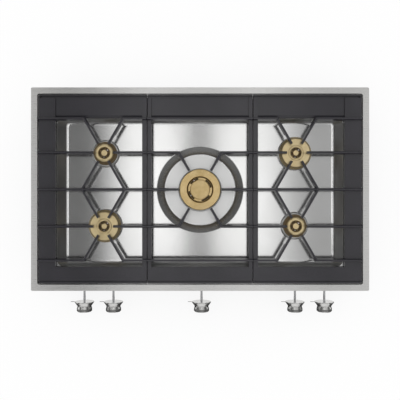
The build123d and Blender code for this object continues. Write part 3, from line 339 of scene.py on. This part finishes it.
def iron_enamel():
    """Black enamel on cast iron: an orange-peel surface with a slightly cloudy gloss."""
    finish = Finish("iron_enamel", ENAMEL, 0.0, ENAMEL_ROUGHNESS, Specular_IOR_Level=0.8)
    peel = finish.noise(finish.place, 1 / ENAMEL_GRAIN, 5.0, 0.65)
    cloud = finish.noise(finish.place, 14.0, 3.0, 0.5)
    finish.colour(finish.blend(finish.spread(cloud, 0.0, 1.0), ENAMEL, ENAMEL_LIGHT))
    finish.rough(finish.spread(peel, ENAMEL_ROUGHNESS * 0.85, ENAMEL_ROUGHNESS * 1.15))
    finish.bump(peel, 0.05 * MM, 0.5, 0.7 * MM)
    return finish.material


def plain_metal(name, colour, dark, roughness, grain=1.5 * MM, edge=0.2 * MM):
    """Cast, plated or drawn metal with a little grain."""
    finish = Finish(name, colour, 1.0, roughness)
    grains = finish.noise(finish.place, 1 / grain, 4.0, 0.6)
    finish.colour(finish.blend(finish.spread(grains, 0.0, 1.0), dark, colour))
    finish.rough(finish.spread(grains, roughness * 0.8, roughness * 1.2))
    finish.bump(grains, 0.03 * MM, 0.5, edge)
    return finish.material


def moulded(name, colour, light, roughness):
    """Plastic, rubber or ceramic with a fine moulded grain."""
    finish = Finish(name, colour, 0.0, roughness)
    grains = finish.noise(finish.place, 1 / (0.8 * MM), 3.0, 0.6)
    finish.colour(finish.blend(finish.spread(grains, 0.0, 1.0), colour, light))
    finish.rough(finish.spread(grains, roughness * 0.9, roughness * 1.1))
    finish.bump(grains, 0.02 * MM, 0.5, 0.2 * MM)
    return finish.material


def galvanised():
    """Zinc-coated steel with its flaky spangle."""
    finish = Finish("housing_zinc", ZINC, 1.0, 0.4)
    flakes = finish.add("ShaderNodeTexVoronoi", Vector=finish.place, Scale=140.0).outputs["Color"]
    tone = finish.add("ShaderNodeRGBToBW", Color=flakes).outputs[0]
    finish.colour(finish.blend(finish.spread(tone, 0.0, 1.0, 0.0, 1.0), ZINC_DARK, ZINC_LIGHT))
    finish.rough(finish.spread(tone, 0.32, 0.48, 0.0, 1.0))
    finish.bump(tone, 0.02 * MM, 0.3, 0.3 * MM)
    return finish.material


def dress_node(name, material):
    """Give a CAD node one material."""
    slots = nodes[name].data.materials
    slots.clear()
    slots.append(material)


def dress(slot, material):
    """Give one material to every CAD node of a slot of the record."""
    for subpart in subparts:
        if subpart["material_slot"] == slot:
            dress_node(subpart["node"], material)


dress("frame_steel", frame_steel())
dress("tray_steel", tray_steel())
dress("enamelled_iron", iron_enamel())
dress("housing_steel", galvanised())
trim_steel = plain_metal(
    "trim_steel", TRIM_STEEL, TRIM_STEEL_DARK, TRIM_ROUGHNESS, grain=2.5 * MM, edge=0.4 * MM
)
dress("trim_steel", trim_steel)
for slot, look in PLAIN_METALS.items():
    dress(slot, plain_metal(slot, *look))
for slots, look in MOULDED.items():
    material = moulded(*look)
    for slot in slots:
        dress(slot, material)

for name in SIDE_BURNERS:
    centre = node_centre(f"crown_{name}")
    skirt = SIDE_SHADE_BRASS if name in SMALL_BURNERS else DEEP_SIDE_SHADE_BRASS
    crown = turned_brass(
        f"crown_brass_{name}", CREAM_BRASS, CREAM_BRASS_DARK, 0.4, centre, skirt=skirt
    )
    dress_node(f"crown_{name}", crown)
    spreader = turned_brass(
        f"spreader_brass_{name}", CREAM_BRASS, BRASS, 0.34, centre, hollow_shade=HOLLOW_SHADE
    )
    dress_node(f"spreader_{name}", spreader)

# node of the middle burner: material name, roughness, painted shade colour of its sides
WOK_BRASS = {
    "wok_outer_crown": ("wok_ring_brass", 0.32, WOK_SIDE_SHADE),
    "wok_inner_crown": ("wok_centre_brass", 0.34, DEEP_SIDE_SHADE_BRASS),
    "wok_cap": ("wok_cap_brass", 0.36, None),
}
wok_centre = node_centre("wok_outer_crown")
for node, (name, roughness, skirt) in WOK_BRASS.items():
    dress_node(node, turned_brass(name, BRASS, BRASS_DARK, roughness, wok_centre, skirt=skirt))

for name in BURNERS:
    dress_node(f"knob_{name}", knob_steel(name, node_centre(f"spindle_{name}")))

# ---------------------------------------------------------------- camera

FRAME_PIXELS = 400
PIXEL = 2.6734 * MM
RIM_TOP = 4.5 * MM
CAMERA_DISTANCE = 1.455
CAMERA_X, CAMERA_Y = -0.2 * MM, -29.1 * MM
SENSOR = 36.0
FAR_CLIP = 50

camera = bpy.data.objects.new("camera", bpy.data.cameras.new("camera"))
bpy.context.scene.collection.objects.link(camera)
camera.location = (CAMERA_X, CAMERA_Y, RIM_TOP + CAMERA_DISTANCE)
camera.data.sensor_width = SENSOR
camera.data.lens = SENSOR * CAMERA_DISTANCE / (FRAME_PIXELS * PIXEL)
camera.data.clip_end = FAR_CLIP
bpy.context.scene.camera = camera

# ---------------------------------------------------------------- floor

UNDERSIDE = cad_box[0][2]
FLOOR_SIZE = 12.0
FLOOR_GAP = 0.5 * MM
FLOOR_COLOUR = (0.86, 0.86, 0.86, 1)
FLOOR_WHITE = 1.05
FLOOR_GLOW = 0.78


def level_card(name, size_x, size_y, place, material):
    """A level rectangle of the stage."""
    mesh = bpy.data.meshes.new(name)
    signs = ((-1, -1), (1, -1), (1, 1), (-1, 1))
    corners = [(x * size_x / 2, y * size_y / 2, 0) for x, y in signs]
    mesh.from_pydata(corners, [], [(0, 1, 2, 3)])
    mesh.materials.append(material)
    card = bpy.data.objects.new(name, mesh)
    bpy.context.scene.collection.objects.link(card)
    card.location = place
    return card


def floor_material():
    """White floor: a glow for camera and gloss, over a matt surface that keeps the shadows."""
    material = bpy.data.materials.new("floor_white")
    material.use_nodes = True
    tree = material.node_tree
    tree.nodes.clear()
    matt = tree.nodes.new("ShaderNodeBsdfDiffuse")
    matt.inputs["Color"].default_value = FLOOR_COLOUR
    glow = tree.nodes.new("ShaderNodeEmission")
    glow.inputs["Strength"].default_value = FLOOR_WHITE
    path = tree.nodes.new("ShaderNodeLightPath")
    seen = tree.nodes.new("ShaderNodeMath")
    seen.operation = "MAXIMUM"
    share = tree.nodes.new("ShaderNodeMath")
    share.operation = "MULTIPLY"
    share.inputs[1].default_value = FLOOR_GLOW
    both = tree.nodes.new("ShaderNodeMixShader")
    out = tree.nodes.new("ShaderNodeOutputMaterial")
    tree.links.new(path.outputs["Is Camera Ray"], seen.inputs[0])
    tree.links.new(path.outputs["Is Glossy Ray"], seen.inputs[1])
    tree.links.new(seen.outputs[0], share.inputs[0])
    tree.links.new(share.outputs[0], both.inputs[0])
    tree.links.new(matt.outputs[0], both.inputs[1])
    tree.links.new(glow.outputs[0], both.inputs[2])
    tree.links.new(both.outputs[0], out.inputs["Surface"])
    return material


level_card("floor", FLOOR_SIZE, FLOOR_SIZE, (0, 0, UNDERSIDE - FLOOR_GAP), floor_material())

# ---------------------------------------------------------------- studio

# brightness of the room that gloss reflects; a height is the upward part of the direction
CEILING = 0.75
SIDE_DARK = 0.06
CEILING_HEIGHTS = (0.62, 0.76)
HORIZON = 0.3
HORIZON_LEFT = 1.0
HORIZON_HEIGHTS = (0.30, 0.20)
HORIZON_TURN = (-0.9, -0.4)
# white before and behind the object
FRONT_LIFT = 0.9
BACK_LIFT = 0.5
LIFT_TURN = (-0.9, 0.9)
LIFT_HEIGHTS = (0.42, 0.52)
LIFT_ABOVE = 0.2
EVEN_LIGHT = 0.92


def studio_world():
    """White to the camera, even light for matt surfaces, and a room with dark sides for gloss."""
    world = bpy.data.worlds.new("studio")
    world.use_nodes = True
    tree = world.node_tree

    def span(value, ends, low, high):
        """Map a value between two ends to another range."""
        node = tree.nodes.new("ShaderNodeMapRange")
        tree.links.new(value, node.inputs["Value"])
        sockets = ("From Min", "From Max", "To Min", "To Max")
        for socket, number in zip(sockets, (*ends, low, high)):
            node.inputs[socket].default_value = number
        return node.outputs["Result"]

    def times(first, second):
        """Multiply two values."""
        node = tree.nodes.new("ShaderNodeMath")
        node.operation = "MULTIPLY"
        tree.links.new(first, node.inputs[0])
        tree.links.new(second, node.inputs[1])
        return node.outputs[0]

    def mixed(share, first, second):
        """Mix two grey levels, each an output or a number."""
        node = tree.nodes.new("ShaderNodeMix")
        tree.links.new(share, node.inputs["Factor"])
        for socket, level in ((node.inputs["A"], first), (node.inputs["B"], second)):
            if isinstance(level, float):
                socket.default_value = level
            else:
                tree.links.new(level, socket)
        return node.outputs["Result"]

    direction = tree.nodes.new("ShaderNodeSeparateXYZ")
    generated = tree.nodes.new("ShaderNodeTexCoord").outputs["Generated"]
    tree.links.new(generated, direction.inputs[0])
    across, along, up = (direction.outputs[axis] for axis in "XYZ")
    room = span(up, CEILING_HEIGHTS, SIDE_DARK, CEILING)
    horizon = span(across, HORIZON_TURN, HORIZON_LEFT, HORIZON)
    room = mixed(span(up, HORIZON_HEIGHTS, 0.0, 1.0), room, horizon)
    lift = times(span(along, LIFT_TURN, FRONT_LIFT, BACK_LIFT), times(along, along))
    lift = times(lift, span(up, LIFT_HEIGHTS, 1.0, LIFT_ABOVE))
    room = mixed(lift, room, 1.0)
    path = tree.nodes.new("ShaderNodeLightPath")
    room = mixed(path.outputs["Is Glossy Ray"], EVEN_LIGHT, room)
    room = mixed(path.outputs["Is Camera Ray"], room, 1.0)
    background = tree.nodes["Background"]
    background.inputs["Color"].default_value = (1, 1, 1, 1)
    tree.links.new(room, background.inputs["Strength"])
    return world


bpy.context.scene.world = studio_world()

LAMP_HEIGHT = 1.65
LAMP_Y = 0.09
LAMP_SIZE = (0.37, 0.94)
# name: place from left to right, watts
SOFTBOXES = {"softbox_left": (-0.28, 0.53), "softbox_right": (0.24, 0.49)}

FLAG_HEIGHT = LAMP_HEIGHT + 0.02
# name: size in x and y, place, grey level
FLAGS = {
    "flag_left": (0.36, 3.0, (-0.73, 0, FLAG_HEIGHT), 0.09),
    "flag_right": (0.36, 3.0, (0.72, 0, FLAG_HEIGHT), 0.38),
    "flag_middle": (0.16, 3.0, (0.01, 0, FLAG_HEIGHT), 0.15),
    "flag_knobs": (1.5, 0.5, (0, -0.56, UNDERSIDE), 0.04),
}


def softbox(name, place_x, watts):
    """A strip lamp that points straight down."""
    lamp = bpy.data.lights.new(name, "AREA")
    lamp.shape = "RECTANGLE"
    lamp.size, lamp.size_y = LAMP_SIZE
    lamp.energy = watts
    holder = bpy.data.objects.new(name, lamp)
    bpy.context.scene.collection.objects.link(holder)
    holder.location = (place_x, LAMP_Y, LAMP_HEIGHT)


def flag(name, size_x, size_y, place, grey):
    """A dark card that only reflections see."""
    material = bpy.data.materials.new(name)
    material.use_nodes = True
    shader = material.node_tree.nodes["Principled BSDF"]
    shader.inputs["Base Color"].default_value = (0, 0, 0, 1)
    shader.inputs["Specular IOR Level"].default_value = 0
    shader.inputs["Emission Color"].default_value = (grey, grey, grey, 1)
    shader.inputs["Emission Strength"].default_value = 1
    card = level_card(name, size_x, size_y, place, material)
    card.visible_camera = False
    card.visible_diffuse = False
    card.visible_shadow = False


for name, (place_x, watts) in SOFTBOXES.items():
    softbox(name, place_x, watts)
for name, (size_x, size_y, place, grey) in FLAGS.items():
    flag(name, size_x, size_y, place, grey)

bpy.context.scene.view_settings.view_transform = "Standard"
